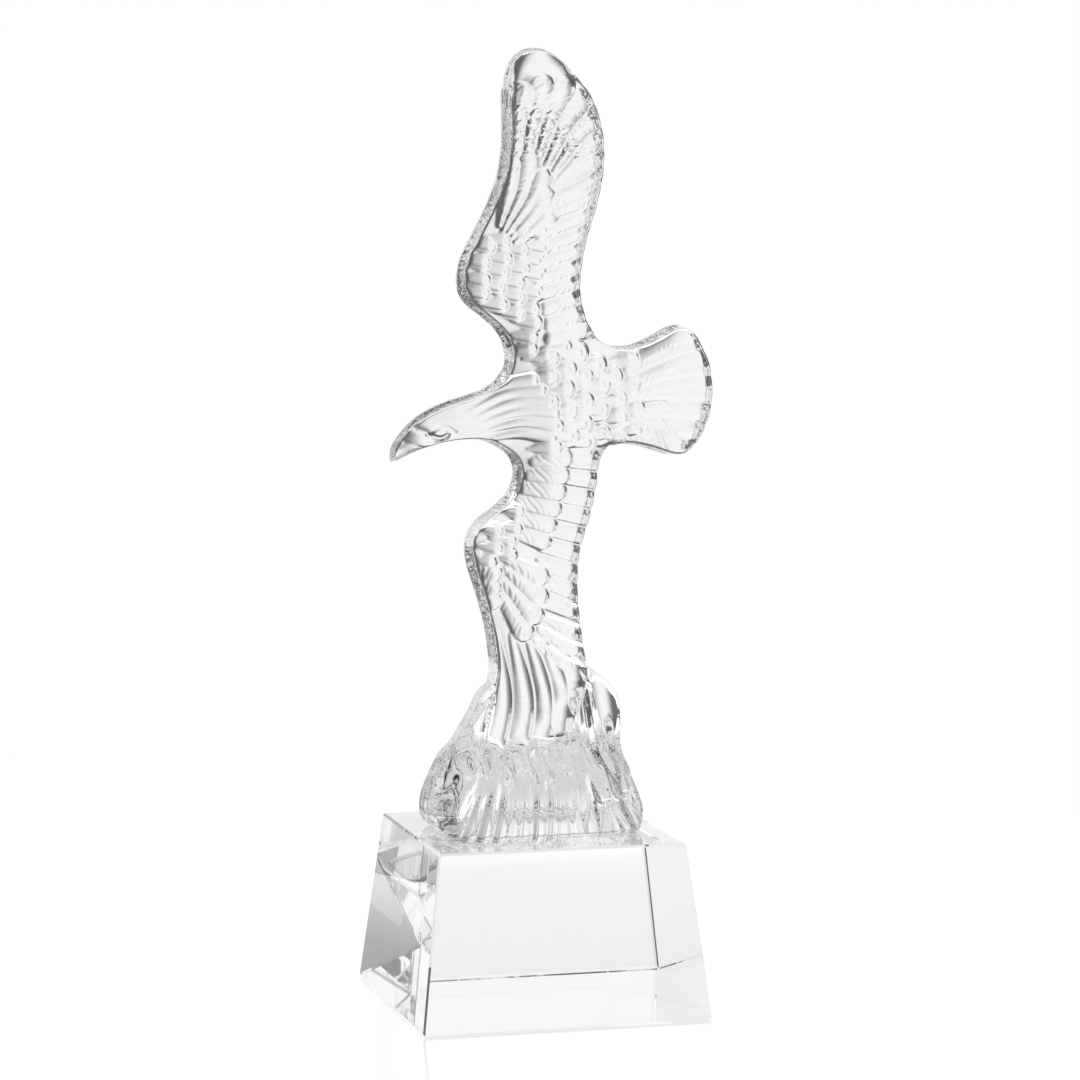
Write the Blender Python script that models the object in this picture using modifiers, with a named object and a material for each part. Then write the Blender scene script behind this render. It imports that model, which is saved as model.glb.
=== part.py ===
"""Glass eagle figurine: an eagle with spread wings, pressed in clear glass in one piece with the rough
mound that it stands in, on a tapered block of clear glass.

Metres, +Z up, the block's front face towards -Y. The origin is under the middle of the block.
The eagle is flat like a thick plate that stands on edge: its outline is drawn in the XZ plane, its
feathers are carved on the front and back. The bird's form is written in thousandths of its own height.
"""
import math

import bmesh
import bpy
import numpy as np
from mathutils import Matrix, Vector
from mathutils.geometry import delaunay_2d_cdt

# Block under the eagle
BLOCK_FOOT_SIDE = 0.090
BLOCK_TOP_SIDE = 0.077
BLOCK_HEIGHT = 0.0532
BLOCK_EDGE = 0.0006
SEAT_GAP = 0.0003

# Eagle with its mound
EAGLE_HEIGHT = 0.2385
PLATE_THICKNESS = 0.0100      # between the edges of the front and the back
PLATE_CROWN = 0.0012          # how far the middle of the wings stands proud of those edges
CROWN_REACH = 0.0080          # how far in from the edges the face has nearly its full height
BODY_CROWN = 0.0012           # how much further the breast stands proud
EDGE_ROUND = 0.0007
EDGE_FADE = 0.0010            # how far in from the edges the carving has its full depth
TIP_ROUND = 0.0035            # the upper wing's tip is rounder than the other edges
DRAFT = 0.0008                # the back is this much wider all round, so that it leaves its mould
FEATHER_LIFT = 0.0017         # height of a feather's tip over the next feather
FEATHER_CROWN = 0.0011        # height of a feather's middle over its edges
FEATHER_SLOPE = 2.0           # steepness of a feather's edge, as rise over run
SPINE_STEP = 8                # spacing of points along a feather's spine, in thousandths
FACE_RELIEF = 0.0010          # depth of the eye, the mouth and the brow
BACK_RELIEF = 0.55            # depth of the carving on the back, as a share of the front's

# Mound
MOUND_HALF_DEPTH = 0.0225
MOUND_SIDE = 0.0028           # half the thickness where the mound's outline ends
MOUND_SQUARE = 4              # power of the mound's cross section: 2 is an ellipse, more is boxier
FLUTE_DEPTH = 0.0016
FLUTE_COUNT = 15
SHELF_UNEVEN = 9              # how far the flutes' tops differ in height, in thousandths

# Facets
FACET = 0.0021
BACK_FACET = 0.0040
RIM_FACET = 0.0024

GLASS_COLOUR = (0.965, 0.970, 0.965, 1.0)
GLASS_IOR = 1.5

# The bird's outline, in thousandths of its height: across to the right, and up from the foot.
# Each stretch is one smooth curve, and they meet at corners.
CROWN_AND_UPPER_WING = [
    (-182, 480), (-181, 493), (-173, 507), (-158, 523), (-138, 537), (-112, 549), (-78, 559),
    (-53, 569), (-36, 584), (-28, 604), (-31, 628), (-42, 647), (-60, 663), (-83, 682), (-92, 705),
    (-87, 735), (-72, 764), (-54, 799), (-40, 836), (-32, 875), (-31, 915), (-32, 952), (-26, 981),
    (-9, 997), (17, 998), (44, 981), (68, 951), (83, 917), (90, 880), (88, 842), (79, 800),
    (66, 757), (59, 715), (59, 687), (67, 657), (83, 633), (109, 619),
]
TAIL = [
    (109, 619), (136, 620), (166, 632), (190, 644), (208, 642), (223, 620), (233, 594), (236, 562),
    (232, 533), (221, 506), (204, 487), (187, 483), (156, 492), (125, 498), (97, 495),
]
LOWER_TRAILING_EDGE = [
    (97, 495), (84, 475), (80, 444), (71, 403), (59, 364), (55, 327), (57, 285), (63, 240), (68, 211),
]
TIP_OVER_MOUND = [
    (68, 211), (67, 185), (57, 156), (48, 132), (28, 114), (8, 107), (-15, 95), (-40, 86), (-60, 93),
    (-71, 110), (-67, 132), (-59, 162), (-54, 192),
]
LOWER_WING_TO_BEAK = [
    (-54, 192), (-50, 220), (-55, 262), (-67, 306), (-80, 348), (-81, 376), (-68, 397), (-44, 415),
    (-25, 434), (-17, 457), (-21, 479), (-38, 495), (-65, 506), (-106, 505), (-146, 495), (-182, 480),
]
MOUND_RIGHT = [
    (68, 211), (78, 205), (97, 189), (112, 172), (115, 150), (112, 112), (117, 84), (129, 54),
    (137, 30), (136, 12), (128, 0),
]
MOUND_LEFT = [
    (-125, 0), (-136, 10), (-139, 28), (-131, 60), (-119, 90), (-101, 122), (-84, 149), (-70, 177),
    (-54, 192),
]
# How far the mound stands out in front of its middle, in thousandths of its half depth, by height
MOUND_PROFILE = [
    (0, 930), (8, 1000), (40, 985), (66, 930), (82, 820), (93, 640), (102, 430), (112, 290),
    (130, 220), (170, 190), (215, 160),
]


def remove_everything():
    for item in list(bpy.data.objects):
        bpy.data.objects.remove(item, do_unlink=True)


def share(metres):
    """A length as thousandths of the eagle's height."""
    return metres / EAGLE_HEIGHT * 1000


def smooth_step(value, low, high):
    ramp = np.clip((value - low) / (high - low), 0, 1)
    return ramp * ramp * (3 - 2 * ramp)


def resample(line, step):
    """Points along a line of points, evenly spaced, both ends kept."""
    lengths = np.hypot(*np.diff(line, axis=0).T)
    reach = np.concatenate([[0], np.cumsum(lengths)])
    count = max(1, round(reach[-1] / step))
    where = np.linspace(0, reach[-1], count + 1)
    return np.column_stack([np.interp(where, reach, line[:, 0]), np.interp(where, reach, line[:, 1])])


def smooth_curve(points, step):
    """A smooth curve through the points, as evenly spaced points."""
    p = np.array(points, float)
    p = np.vstack([2 * p[0] - p[1], p, 2 * p[-1] - p[-2]])
    t = np.linspace(0, 1, 12, endpoint=False)[:, None]
    spans = []
    for a, b, c, d in zip(p, p[1:], p[2:], p[3:]):
        spans.append(b + 0.5 * t * (c - a + t * (2 * a - 5 * b + 4 * c - d + t * (3 * (b - c) + d - a))))
    return resample(np.vstack(spans + [p[-2:-1]]), step)


def joined(stretches, step):
    """A closed outline from open stretches that meet at their ends."""
    return np.vstack([smooth_curve(stretch, step)[:-1] for stretch in stretches])


def bird_outline(step):
    return joined([CROWN_AND_UPPER_WING, TAIL, LOWER_TRAILING_EDGE, TIP_OVER_MOUND, LOWER_WING_TO_BEAK], step)


def whole_outline(step):
    foot = [MOUND_RIGHT[-1], MOUND_LEFT[0]]
    return joined([CROWN_AND_UPPER_WING, TAIL, LOWER_TRAILING_EDGE, MOUND_RIGHT, foot, MOUND_LEFT,
                   LOWER_WING_TO_BEAK], step)


def outward(outline):
    """Unit normals of a clockwise outline, pointing out of it."""
    along = np.roll(outline, -1, axis=0) - np.roll(outline, 1, axis=0)
    normal = np.column_stack([-along[:, 1], along[:, 0]])
    return normal / np.hypot(*normal.T)[:, None]


def depth_inside(points, outline):
    """Distance of each point from the outline, positive inside it."""
    best = np.full(len(points), 1e9)
    inside = np.zeros(len(points), bool)
    for a, b in zip(outline, np.roll(outline, -1, axis=0)):
        step = b - a
        along = np.clip(((points - a) @ step) / (step @ step), 0, 1)
        away = np.hypot(*(points - a - along[:, None] * step).T)
        best = np.minimum(best, away)
        crosses = (a[1] > points[:, 1]) != (b[1] > points[:, 1])
        if a[1] != b[1]:
            inside ^= crosses & (points[:, 0] < a[0] + (points[:, 1] - a[1]) / (b[1] - a[1]) * step[0])
    return np.where(inside, best, -best)


class Lobe:
    """One raised feather, lock or flute: a rounded strip along a spine, highest at its tip end."""

    def __init__(self, spine, half_widths, lifts=(0.1, 1.0), crown=1.0, tilt=0.0):
        self.spine = smooth_curve(spine, SPINE_STEP)
        self.half_widths = half_widths
        self.lifts = lifts
        self.crown = crown
        self.tilt = tilt

    def height(self, points):
        """Height over the ground in metres, far below it away from the lobe."""
        result = np.full(len(points), -1.0)
        margin = max(self.half_widths) + 8
        low, high = self.spine.min(axis=0) - margin, self.spine.max(axis=0) + margin
        near = np.all((points > low) & (points < high), axis=1)
        p = points[near]
        if not len(p):
            return result
        away = np.full(len(p), 1e9)
        along = np.zeros(len(p))
        side = np.zeros(len(p))
        spans = len(self.spine) - 1
        for i, (a, b) in enumerate(zip(self.spine, self.spine[1:])):
            step = b - a
            length = math.hypot(*step)
            ahead = np.maximum(((p - a) @ step) / length ** 2, 0)
            part = np.minimum(ahead, 1)
            gap = p - a - part[:, None] * step
            distance = np.hypot(*gap.T)
            closer = distance < away
            away = np.where(closer, distance, away)
            along = np.where(closer, i + (ahead if i == spans - 1 else part), along)
            side = np.where(closer, (step[0] * gap[:, 1] - step[1] * gap[:, 0]) / length, side)
        half = np.interp(along / spans, (0, 1), self.half_widths)
        lift = np.interp(along / (spans + self.half_widths[1] / SPINE_STEP), (0, 1), self.lifts)
        ratio = np.minimum(away / half, 1)
        tilt = self.tilt * np.clip(side / half, -1, 1)
        beyond = np.maximum(away - half, 0) * EAGLE_HEIGHT / 1000 * FEATHER_SLOPE
        rise = FEATHER_LIFT * (lift + tilt) + FEATHER_CROWN * self.crown * (1 - ratio ** 2)
        result[near] = rise - beyond
        return result

    def rim(self, inset, step):
        """Points round the lobe's edge, a little inside it."""
        along = np.gradient(self.spine, axis=0)
        along /= np.hypot(*along.T)[:, None]
        across = np.column_stack([-along[:, 1], along[:, 0]])
        half = np.linspace(*self.half_widths, len(self.spine))[:, None] - inset
        turns = np.linspace(math.pi / 2, -math.pi / 2, 7)[1:-1, None]
        tip = self.spine[-1] + half[-1] * (np.cos(turns) * along[-1] + np.sin(turns) * across[-1])
        rim = np.vstack([self.spine + half * across, tip, (self.spine - half * across)[::-1]])
        return resample(rim, step)


def fan(roots, tips, count, bend=0.0, spread=0.5, tuck=0.0, stack=0.0, lifts=(0.15, 0.8), **looks):
    """Feathers side by side, from a line of roots to a line of tips, tucked a share of their length
    under what covers their roots. With stack, each lies that much lower than the one before it."""
    at = (np.arange(count * 2 + 1)) / 2
    root_line = smooth_curve(roots, 1)
    tip_line = smooth_curve(tips, 1)
    root = root_line[np.round(at / count * (len(root_line) - 1)).astype(int)]
    tip = tip_line[np.round(at / count * (len(tip_line) - 1)).astype(int)]
    feathers = []
    for i in range(1, 2 * count, 2):
        width_root = math.hypot(*(root[i + 1] - root[i - 1])) * spread
        width_tip = math.hypot(*(tip[i + 1] - tip[i - 1])) * spread
        way = tip[i] - root[i]
        middle = (root[i] + tip[i]) / 2 + bend * np.array([-way[1], way[0]])
        end = tip[i] - way / math.hypot(*way) * width_tip
        start = root[i] - way * tuck
        lower = stack * (i // 2)
        feathers.append(Lobe([start, middle, end], (width_root, width_tip),
                             lifts=(lifts[0] - lower, lifts[1] - lower), **looks))
    return feathers


def scales(low, high, step, size, direction, outline, **looks):
    """Small overlapping feathers in staggered rows that fill a box from its upper right corner, where
    the outline leaves room."""
    along = np.array(direction) / math.hypot(*direction)
    across = np.array([-along[1], along[0]])
    found = []
    for i in range(14):
        for j in range(-12, 13):
            uneven = 0.12 * np.array([math.sin(i * 5.1 + j * 2.3), math.sin(i * 3.7 + j * 7.9)])
            tip = np.array(high) - along * (i + uneven[0]) * step[0]
            tip = tip + across * (j + 0.5 * (i % 2) + uneven[1]) * step[1]
            if np.all(tip >= low) and np.all(tip <= high):
                found.append(tip)
    room = depth_inside(np.array(found), outline)
    length = step[0] + size * 0.3
    return [Lobe([tip - along * length, tip - along * length / 2, tip], (size * 0.5, size), **looks)
            for tip, space in zip(found, room) if space > size * 0.4]


def feathers(outline):
    """Every carved feather on the front, in groups."""
    small = {"lifts": (-0.3, 0.85), "crown": 0.9}
    return {
        "upper coverts": scales((-95, 622), (7, 772), (24, 20), 10.5, (1, -0.12), outline, **small),
        "upper secondaries": fan([(30, 822), (21, 790), (20, 740), (22, 690), (32, 628)],
                                 [(100, 860), (88, 784), (76, 722), (75, 690), (90, 644)], 10,
                                 bend=-0.04, tuck=0.2, tilt=-0.15, crown=1.2),
        "upper primaries": fan([(-34, 842), (-2, 856), (24, 858), (36, 842), (26, 820)],
                               [(-30, 948), (2, 966), (58, 958), (94, 920), (102, 856)], 7,
                               bend=0.05, tuck=0.3, tilt=-0.2, lifts=(-0.4, 0.7), crown=1.0),
        "upper primary coverts": fan([(-52, 780), (-40, 772), (-26, 754)],
                                     [(-44, 862), (4, 862), (28, 784)], 5, bend=-0.04, spread=0.54),
        "shoulder": scales((-20, 596), (34, 622), (24, 22), 11, (1, 0.1), outline, **small),
        "breast": scales((4, 494), (142, 618), (22, 29), 15, (1, 0.06), outline, lifts=(-0.5, 0.9),
                         crown=1.0),
        "tail top": fan([(128, 608), (140, 590), (140, 552)], [(218, 662), (246, 612), (251, 551)], 3,
                        bend=0.03, tuck=0.15, lifts=(0.1, 0.6), tilt=-0.3),
        "tail": fan([(144, 546), (132, 532), (118, 502)], [(251, 551), (242, 512), (210, 471)], 3,
                    bend=0.05, tuck=0.15, lifts=(0.0, 0.6), tilt=-0.4),
        "neck": fan([(-92, 558), (-78, 530), (-66, 500)], [(-4, 592), (30, 540), (24, 498)], 6,
                    bend=0.07, lifts=(-0.6, 0.7), crown=1.1),
        "lower secondaries": fan([(47, 492), (44, 460), (36, 418), (22, 376), (18, 331), (10, 289)],
                                 [(102, 486), (93, 457), (85, 410), (72, 364), (65, 317), (65, 268)], 9,
                                 tuck=0.2, crown=0.8, tilt=-0.4),
        "lower inner coverts": fan([(2, 488), (-14, 440), (-30, 380)], [(48, 492), (36, 430), (14, 362)],
                                   6, lifts=(0.0, 0.9), crown=0.6, tilt=-0.35),
        "lower coverts": scales((-84, 345), (-28, 414), (21, 20), 10, (1, -0.2), outline, **small),
        "lower long coverts": fan([(-34, 358), (-38, 345), (-41, 332), (-48, 321), (-60, 314)],
                                  [(13, 338), (12, 308), (7, 280), (-4, 257), (-20, 238)], 4,
                                  spread=0.46, stack=0.15, lifts=(0.3, 1.2), crown=0.6),
        "lower edge coverts": fan([(-78, 366), (-78, 322)], [(-50, 336), (-54, 280)], 3, spread=0.6,
                                  stack=0.2, lifts=(0.0, 0.9), crown=0.6),
        "lower outer secondaries": fan([(18, 284), (6, 262), (-4, 240)], [(71, 268), (81, 224), (83, 186)],
                                       3, bend=-0.04, lifts=(-0.3, 0.6), tilt=-0.4),
        "lower primaries": fan([(-64, 256), (-15, 252), (38, 240)],
                               [(-78, 98), (-42, 86), (2, 94), (40, 126), (68, 166)], 5, bend=0.07,
                               lifts=(-0.7, 0.7), crown=1.5, tilt=0.2),
    }


def mound_flutes():
    """Rough upright flutes round the mound, and the slanting lumps of its two shoulders."""
    flutes = []
    for i in range(FLUTE_COUNT):
        across = (i + 0.5) / FLUTE_COUNT * 2 - 1
        uneven = math.sin(i * 12.9) * 0.5 + math.sin(i * 4.7) * 0.5
        foot = np.array([across * 130 + uneven * 4, 6])
        top = np.array([across * 100 + uneven * 5, 98 - 34 * across ** 2 + uneven * 18])
        flutes.append(Lobe([top, (top + foot) / 2 + (uneven * 3, 0), foot],
                           (6 + uneven, 9.5 + 1.5 * uneven), lifts=(-0.9, 0.9 + 0.3 * uneven), crown=1.4))
    shoulders = [
        Lobe([(89, 194), (100, 150), (117, 82)], (15, 7), lifts=(0.8, 1.2), crown=1.5),
        Lobe([(70, 180), (79, 130), (97, 60)], (8, 11), lifts=(0.0, 1.0), crown=1.8),
        Lobe([(50, 142), (57, 100), (70, 50)], (7, 10), lifts=(-0.6, 0.9), crown=1.8),
        Lobe([(-60, 180), (-78, 140), (-92, 98)], (9, 15), lifts=(0.0, 0.9), crown=1.5),
        Lobe([(-74, 128), (-100, 84), (-124, 36)], (9, 13), lifts=(-0.4, 1.0), crown=1.8),
    ]
    return flutes + shoulders


def highest(lobes, points):
    """Height of the highest lobe at each point, or the ground, in metres."""
    top = np.zeros(len(points))
    for lobe in lobes:
        top = np.maximum(top, lobe.height(points))
    return top


def cut(points, line, half_width):
    """How much of a groove along the line is felt at each point, from 0 to 1."""
    nearest = np.full(len(points), 1e9)
    for a in smooth_curve(line, 1):
        nearest = np.minimum(nearest, np.hypot(*(points - a).T))
    return np.exp(-(nearest / half_width) ** 2)


def face_relief(points):
    """The eagle's mouth, cere, eye hollow, eye and brow, in metres."""
    relief = -0.9 * cut(points, [(-181, 484), (-172, 490), (-159, 495), (-140, 496)], 2.2)
    relief -= 0.4 * cut(points, [(-170, 503), (-157, 500), (-149, 497)], 2.0)
    relief -= 1.2 * cut(points, [(-156, 521), (-148, 518), (-140, 514)], 4.0)
    relief -= 1.0 * cut(points, [(-140, 513), (-124, 508), (-114, 513)], 2.0)
    relief -= 0.7 * cut(points, [(-135, 516), (-126, 522), (-116, 522), (-105, 516)], 1.8)
    relief += 0.5 * cut(points, [(-131, 516), (-119, 516)], 3.5)
    return FACE_RELIEF * relief


def plate_depth(points, outline, relief):
    """Distance of the bird's face from the middle plane, in metres."""
    inside = depth_inside(points, outline) * EAGLE_HEIGHT / 1000
    head = smooth_step(-points[:, 0], 60, 190) * 0.3 + smooth_step(-points[:, 0], 140, 186) * 0.3
    tip = smooth_step(points[:, 1], 930, 985)
    breast = np.exp(-((points[:, 0] - 60) ** 2 + (points[:, 1] - 555) ** 2) / 90 ** 2)
    crown = (PLATE_CROWN + BODY_CROWN * breast) * (1 - np.exp(-np.maximum(inside, 0) / CROWN_REACH))
    round_off = EDGE_ROUND + (TIP_ROUND - EDGE_ROUND) * tip
    short = np.maximum(round_off - np.maximum(inside, 0), 0)
    edge = round_off - np.sqrt(np.maximum(round_off ** 2 - short ** 2, 0))
    carved = relief * (0.75 + 0.25 * smooth_step(inside, 0, EDGE_FADE))
    depth = (PLATE_THICKNESS / 2 + crown) * (1 - head) - edge + carved
    return depth + np.minimum(inside, 0) * 3


def mound_depth(points, relief):
    """Distance of the mound's surface from the middle plane, in metres, and none above it."""
    x, z = points.T
    left = smooth_curve(MOUND_LEFT, 3)
    right = smooth_curve(MOUND_RIGHT, 3)[::-1]
    low = np.interp(z, *left.T[::-1])
    high = np.interp(z, *right.T[::-1])
    ratio = np.clip((x - (low + high) / 2) / ((high - low) / 2), -1, 1)
    tops = np.sin(x * 0.23 + 1.2 * np.sin(x * 0.071)) * (0.6 + 0.4 * np.sin(x * 0.11 + 2))
    shelf = z + SHELF_UNEVEN * tops * smooth_step(z, 40, 90)
    middle = np.interp(shelf, *smooth_curve(MOUND_PROFILE, 10).T) / 1000 * MOUND_HALF_DEPTH
    swell = (1 - ratio ** MOUND_SQUARE) ** (1 / MOUND_SQUARE)
    depth = MOUND_SIDE + (middle - MOUND_SIDE) * swell + relief * np.minimum(swell * 3, 1)
    return np.where(z < 214, depth, 0)


def surface(points, outline, bird_lobes, mound_lobes, amount=1.0):
    """Depth of the whole face at each point: the bird's plate or the mound, whichever stands further out."""
    carving = highest(bird_lobes, points) + face_relief(points)
    flutes = highest(mound_lobes, points) * FLUTE_DEPTH / FEATHER_LIFT
    return np.maximum(plate_depth(points, outline, carving * amount), mound_depth(points, flutes * amount))


def thinned(groups, spacing):
    """The points of all groups, leaving out each that is too near one that came before it."""
    kept = np.empty((0, 2))
    for points, gap in zip(groups, spacing):
        for point in points:
            if not len(kept) or np.min(np.hypot(*(kept - point).T)) > gap:
                kept = np.vstack([kept, point])
    return kept


def lattice(outline, step):
    """An even spread of points inside the outline."""
    low, high = outline.min(axis=0), outline.max(axis=0)
    rows = np.arange(low[1], high[1], step * 0.866)
    columns = np.arange(low[0], high[0], step)
    points = np.array([(x + step / 2 * (i % 2), z) for i, z in enumerate(rows) for x in columns])
    return points[depth_inside(points, outline) > step * 0.6]


def carving_points(outline, lobes, inset, step):
    """Points along the edges of the lobes that show."""
    rims = np.vstack([lobe.rim(inset, step) for lobe in lobes])
    own = np.concatenate([lobe.height(lobe.rim(inset, step)) for lobe in lobes])
    shows = own > highest(lobes, rims) - FEATHER_LIFT * 0.2
    return rims[shows & (depth_inside(rims, outline) > 2.5)]


def sheet(outline, groups, spacing):
    """Triangles that fill the outline, with the outline's own points first."""
    points = thinned([outline] + groups, [0] + spacing)
    corners, _, faces, _, _, _ = delaunay_2d_cdt([Vector(p) for p in points], [],
                                                 [list(range(len(outline)))], 1, 1e-5)
    return np.array([tuple(c) for c in corners]), faces


def eagle_mesh():
    step = share(FACET)
    outline = whole_outline(share(RIM_FACET))
    bird = bird_outline(share(RIM_FACET))
    groups = feathers(bird)
    front_lobes = [lobe for group in groups.values() for lobe in group]
    back_lobes = groups["upper primaries"] + groups["tail"] + groups["lower primaries"]
    flutes = mound_flutes()

    ring = outline - outward(outline) * share(EDGE_ROUND)
    tip_ring = resample(smooth_curve(TIP_OVER_MOUND, 2), step)
    front, front_faces = sheet(
        outline,
        [ring, tip_ring, carving_points(outline, front_lobes + flutes, 0, step * 0.9),
         carving_points(outline, front_lobes + flutes, 4.5, step * 0.9), lattice(outline, step)],
        [3.0, 3.0, 4.2, 4.2, step * 0.62])
    back_step = share(BACK_FACET)
    back, back_faces = sheet(
        outline,
        [ring, carving_points(outline, back_lobes + flutes, 0, back_step * 0.7),
         lattice(outline, back_step)],
        [3.0, 7.0, back_step * 0.7])

    front_depth = surface(front, bird, front_lobes, flutes)
    back_depth = surface(back, bird, back_lobes, flutes, BACK_RELIEF)
    return closed_body(outline, (front, front_depth, front_faces), (back, back_depth, back_faces))


def closed_body(outline, front, back):
    """Front and back sheets joined by the wall along their common outline."""
    scale = EAGLE_HEIGHT / 1000
    rise = BLOCK_HEIGHT + SEAT_GAP
    body = bmesh.new()
    wide = outline + outward(outline) * share(DRAFT) * smooth_step(outline[:, 1], 190, 240)[:, None]

    def add_sheet(points, depth, faces, side):
        verts = [body.verts.new((x * scale, side * d, z * scale + rise)) for (x, z), d in zip(points, depth)]
        for face in faces:
            body.faces.new([verts[i] for i in face])
        rim = [verts[int(np.argmin(np.hypot(*(points - p).T)))] for p in outline]
        return verts, rim

    _, front_rim = add_sheet(*front, -1)
    _, back_rim = add_sheet(*back, 1)
    for vert, (x, z) in zip(back_rim, wide):
        vert.co.x = x * scale
        vert.co.z = z * scale + rise
    count = len(outline)
    for i in range(count):
        j = (i + 1) % count
        body.faces.new([front_rim[i], front_rim[j], back_rim[j], back_rim[i]])
    bmesh.ops.triangulate(body, faces=body.faces[:])
    bmesh.ops.recalc_face_normals(body, faces=body.faces[:])
    mesh = bpy.data.meshes.new("eagle")
    body.to_mesh(mesh)
    body.free()
    mesh.shade_smooth()
    return mesh


def block_mesh():
    """A square block, narrower at the top: a four-sided cone without its point."""
    body = bmesh.new()
    turn = Matrix.Rotation(math.radians(45), 4, "Z")
    lift = Matrix.Translation((0, 0, BLOCK_HEIGHT / 2))
    bmesh.ops.create_cone(body, cap_ends=True, segments=4, radius1=BLOCK_FOOT_SIDE / math.sqrt(2),
                          radius2=BLOCK_TOP_SIDE / math.sqrt(2), depth=BLOCK_HEIGHT, matrix=lift @ turn)
    mesh = bpy.data.meshes.new("base_block")
    body.to_mesh(mesh)
    body.free()
    return mesh


def clear_glass(name):
    material = bpy.data.materials.new(name)
    material.use_nodes = True
    shader = material.node_tree.nodes["Principled BSDF"]
    shader.inputs["Base Color"].default_value = GLASS_COLOUR
    shader.inputs["Metallic"].default_value = 0.0
    shader.inputs["Roughness"].default_value = 0.0
    shader.inputs["IOR"].default_value = GLASS_IOR
    shader.inputs["Transmission Weight"].default_value = 1.0
    return material


def add_object(name, mesh, material, collection):
    item = bpy.data.objects.new(name, mesh)
    mesh.materials.append(material)
    collection.objects.link(item)
    return item


def main():
    remove_everything()
    collection = bpy.data.collections.new("glass_eagle_figurine")
    bpy.context.scene.collection.children.link(collection)
    block = add_object("base_block", block_mesh(), clear_glass("base_glass"), collection)
    bevel = block.modifiers.new("polished edges", "BEVEL")
    bevel.width = BLOCK_EDGE
    bevel.segments = 1
    add_object("eagle", eagle_mesh(), clear_glass("eagle_glass"), collection)


main()
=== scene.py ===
"""Looks of the glass eagle figurine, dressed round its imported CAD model.

Metres, +Z up, the block's front face towards -Y. The bird's form is written in thousandths of its
height, from the same values as the CAD source, and gets its fine carving here.
"""
import math

import bmesh
import bpy
import numpy as np
from mathutils import Matrix, Vector
from mathutils.geometry import delaunay_2d_cdt


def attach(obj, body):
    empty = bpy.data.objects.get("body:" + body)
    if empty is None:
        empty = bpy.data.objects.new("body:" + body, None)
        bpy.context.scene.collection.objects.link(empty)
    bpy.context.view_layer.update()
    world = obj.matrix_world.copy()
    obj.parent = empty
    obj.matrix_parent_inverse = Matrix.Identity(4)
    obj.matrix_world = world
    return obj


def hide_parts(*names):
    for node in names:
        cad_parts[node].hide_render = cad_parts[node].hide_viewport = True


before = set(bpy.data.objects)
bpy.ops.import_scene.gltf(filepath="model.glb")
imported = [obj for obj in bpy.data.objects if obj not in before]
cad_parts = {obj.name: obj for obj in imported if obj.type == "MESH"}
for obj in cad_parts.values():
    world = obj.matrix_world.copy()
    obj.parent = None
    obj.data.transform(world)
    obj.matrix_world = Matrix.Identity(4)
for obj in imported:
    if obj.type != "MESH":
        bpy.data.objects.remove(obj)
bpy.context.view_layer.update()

# Block under the eagle
BLOCK_FOOT_SIDE = 0.090
BLOCK_TOP_SIDE = 0.077
BLOCK_HEIGHT = 0.0532
BLOCK_EDGE = 0.0006
SEAT_GAP = 0.0003             # between the block and the eagle's foot in the CAD
BOND = 0.00035                # how far the clear glue under the mound reaches down into that gap

# Eagle with its mound
EAGLE_HEIGHT = 0.2385
PLATE_THICKNESS = 0.0100      # between the edges of the front and the back
PLATE_CROWN = 0.0012          # how far the middle of the wings stands proud of those edges
CROWN_REACH = 0.0080          # how far in from the edges the face has nearly its full height
BODY_CROWN = 0.0012           # how much further the breast stands proud
EDGE_ROUND = 0.0007
EDGE_FADE = 0.0010            # how far in from the edges the carving has its full depth
TIP_ROUND = 0.0035            # the upper wing's tip is rounder than the other edges
TIP_HEIGHTS = (930, 985)      # where the edges turn into that tip, in thousandths
DRAFT = 0.0008                # the back is this much wider all round, so that it leaves its mould
DRAFT_HEIGHTS = (190, 240)    # where that begins over the mound, in thousandths
FEATHER_LIFT = 0.0017         # height of a feather's tip over the next feather
FEATHER_CROWN = 0.0011        # height of a feather's middle over its edges
FEATHER_SLOPE = 2.0           # steepness of a feather's edge, as rise over run
SPINE_STEP = 8                # spacing of points along a feather's spine, in thousandths
FACE_RELIEF = 0.0010          # depth of the eye, the mouth and the brow
BACK_RELIEF = 0.55            # depth of the carving on the back, as a share of the front's

# Mound
MOUND_HALF_DEPTH = 0.0225
MOUND_SIDE = 0.0028           # half the thickness where the mound's outline ends
MOUND_SQUARE = 4              # power of the mound's cross section: 2 is an ellipse, more is boxier
MOUND_TOP = 214               # height where the mound ends, in thousandths
FLUTE_DEPTH = 0.0016
FLUTE_COUNT = 15
SHELF_UNEVEN = 9              # how far the flutes' tops differ in height, in thousandths

# Fineness of the eagle's mesh
GRID = 0.00020                # spacing of the height map that the carving is read from
FINE = 0.00039                # spacing of points where the carving is steep
COARSE = 0.00090              # spacing of points elsewhere on the front
BACK_FINE = 0.0011            # spacing of points on the back
STIPPLE_FINE = 0.00040        # and where it is stippled
STEEP = 0.22                  # steepness of the carving from which it counts as steep
RIM = 0.00055                 # spacing of points along the outline
ROUGH_RIM = 6                 # the same for tests that need no fine outline, in thousandths
BIRD_RIM = 4
WALL_ROWS = 7                 # rows of faces between the front's edge and the back's
EDGE_TURNS = (20, 38, 56, 74, 92)   # how far round the rounded edge each ring of points lies, in degrees

# Fine carving, in metres
BARB_DEPTH = 0.00040
SHAFT_HEIGHT = 0.00012
INNER_ARC = 0.00028           # depth of the second arc inside a scale
SOFTNESS = 0.00020            # blur of the carving's edges, as in pressed glass
WALL_RIPPLE = 0.00020
STIPPLE = 0.00045             # depth of the rough field behind the upper primaries
STIPPLE_FOOT = (852, 862)     # heights where that field begins, in thousandths
STIPPLE_TOP = (925, 932)      # and where it ends

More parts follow.
